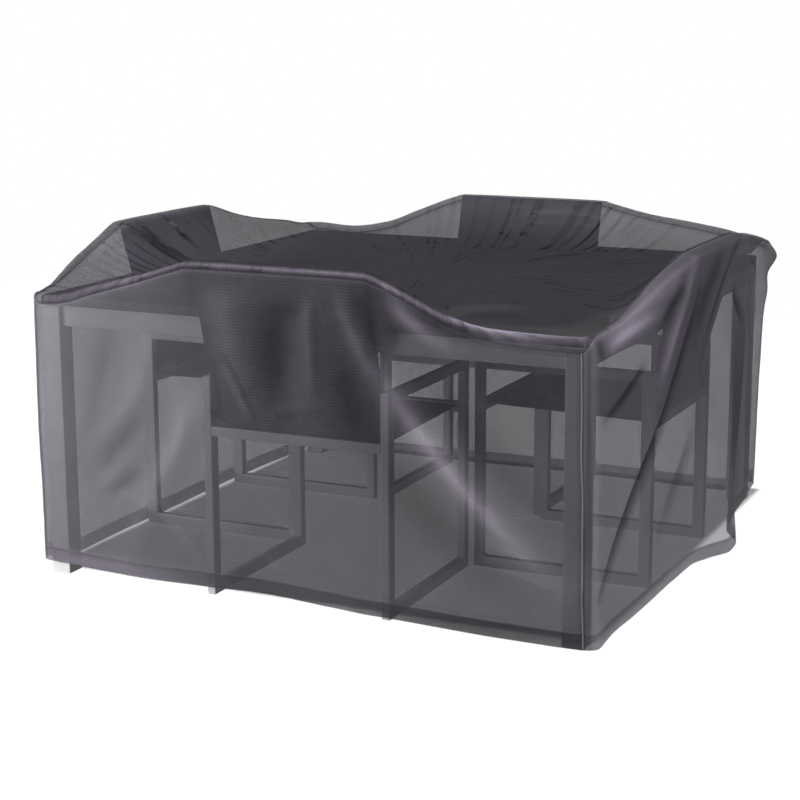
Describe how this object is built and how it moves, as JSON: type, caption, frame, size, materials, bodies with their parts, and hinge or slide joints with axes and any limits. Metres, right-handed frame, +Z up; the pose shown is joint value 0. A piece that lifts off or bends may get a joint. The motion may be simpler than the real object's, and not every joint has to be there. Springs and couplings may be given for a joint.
{
  "type": "patio furniture cover over a table and armchairs",
  "caption": "Sheer square patio furniture cover draped over a square table and the armchairs pushed in at its sides, low at the corners and raised over each chair back.",
  "frame": {"origin": "on the ground under the middle of the whole outline, 2 mm to the right of and 18 mm behind the middle of the table", "axes": "+Z up, +X to the right and +Y to the back of the set for someone who faces its front side"},
  "size_m": [1.7444, 1.712, 0.869],
  "materials": {
    "charcoal_sheer_cloth": "matt, thin and see-through",
    "pale_powder_coat": "satin powder coat",
    "dark_table_top": "satin laminate board",
    "dark_seat_mesh": "stretched woven mesh"
  },
  "bodies": {
    "root": {"table_top": "dark_table_top", "table_leg_front": "pale_powder_coat", "table_leg_right": "pale_powder_coat", "table_leg_back": "pale_powder_coat", "table_leg_left": "pale_powder_coat", "table_apron_front": "pale_powder_coat", "table_apron_right": "pale_powder_coat", "table_apron_back": "pale_powder_coat", "table_apron_left": "pale_powder_coat", "chair_front_frame_left": "pale_powder_coat", "chair_front_frame_right": "pale_powder_coat", "chair_front_rail_rear": "pale_powder_coat", "chair_front_rail_front": "pale_powder_coat", "chair_front_seat": "dark_seat_mesh", "chair_front_back": "dark_seat_mesh", "chair_right_frame_left": "pale_powder_coat", "chair_right_frame_right": "pale_powder_coat", "chair_right_rail_rear": "pale_powder_coat", "chair_right_rail_front": "pale_powder_coat", "chair_right_seat": "dark_seat_mesh", "chair_right_back": "dark_seat_mesh", "chair_back_frame_left": "pale_powder_coat", "chair_back_frame_right": "pale_powder_coat", "chair_back_rail_rear": "pale_powder_coat", "chair_back_rail_front": "pale_powder_coat", "chair_back_seat": "dark_seat_mesh", "chair_back_back": "dark_seat_mesh", "chair_left_frame_left": "pale_powder_coat", "chair_left_frame_right": "pale_powder_coat", "chair_left_rail_rear": "pale_powder_coat", "chair_left_rail_front": "pale_powder_coat", "chair_left_seat": "dark_seat_mesh", "chair_left_back": "dark_seat_mesh", "cover_top_panel": "charcoal_sheer_cloth", "cover_front_panel": "charcoal_sheer_cloth", "cover_right_panel": "charcoal_sheer_cloth", "cover_back_panel": "charcoal_sheer_cloth", "cover_left_panel": "charcoal_sheer_cloth"}
  },
  "joints": []
}
